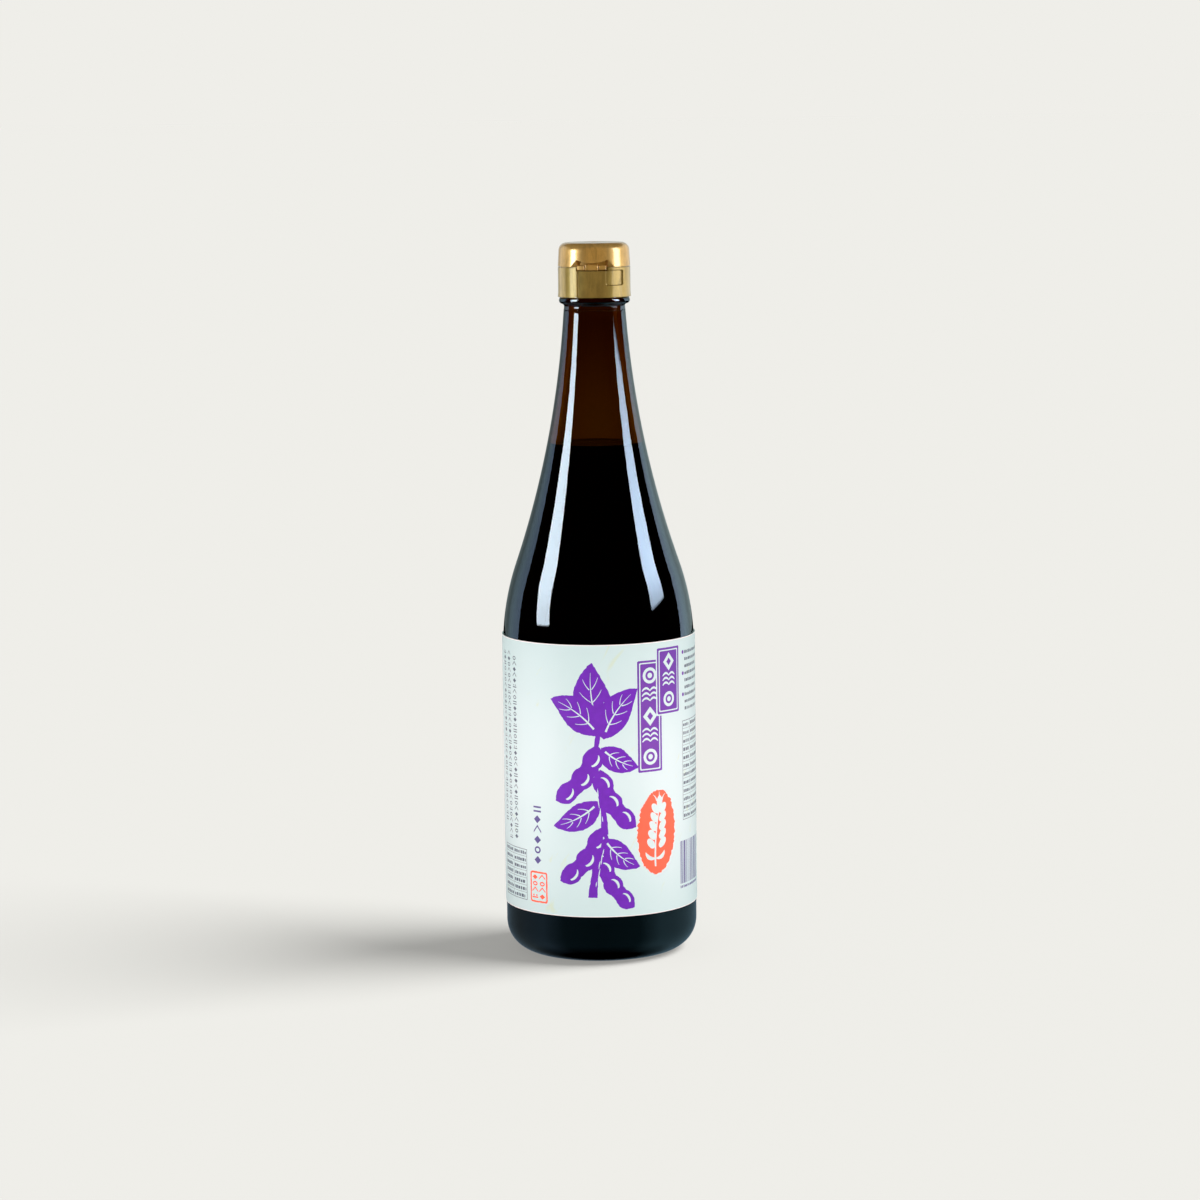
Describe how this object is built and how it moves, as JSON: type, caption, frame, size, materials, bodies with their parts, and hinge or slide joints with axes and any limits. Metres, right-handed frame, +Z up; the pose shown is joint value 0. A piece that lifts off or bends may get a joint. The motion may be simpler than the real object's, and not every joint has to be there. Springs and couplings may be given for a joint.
{
  "type": "soy sauce bottle",
  "caption": "Tall amber glass bottle of soy sauce with a long tapering neck, a wrap-round paper label and a shut gold flip-top cap.",
  "frame": {"origin": "middle of the base, on the surface that the bottle stands on", "axes": "+Z up along the bottle's axis; the front of the label and the cap's hinge face -Y; +X is to the right seen from the front"},
  "size_m": [0.0794, 0.0792, 0.2912],
  "materials": {
    "amber_glass": "glossy dark amber bottle glass",
    "soy_sauce": "near-black red-brown liquid",
    "label_paper": "pale satin label paper with purple and red-orange print",
    "cap_gold": "moulded plastic with a pearly gold pigment"
  },
  "bodies": {
    "root": {"bottle": "amber_glass", "soy_sauce": "soy_sauce", "label": "label_paper", "cap_base": "cap_gold", "cap_lid": "cap_gold"}
  },
  "joints": []
}
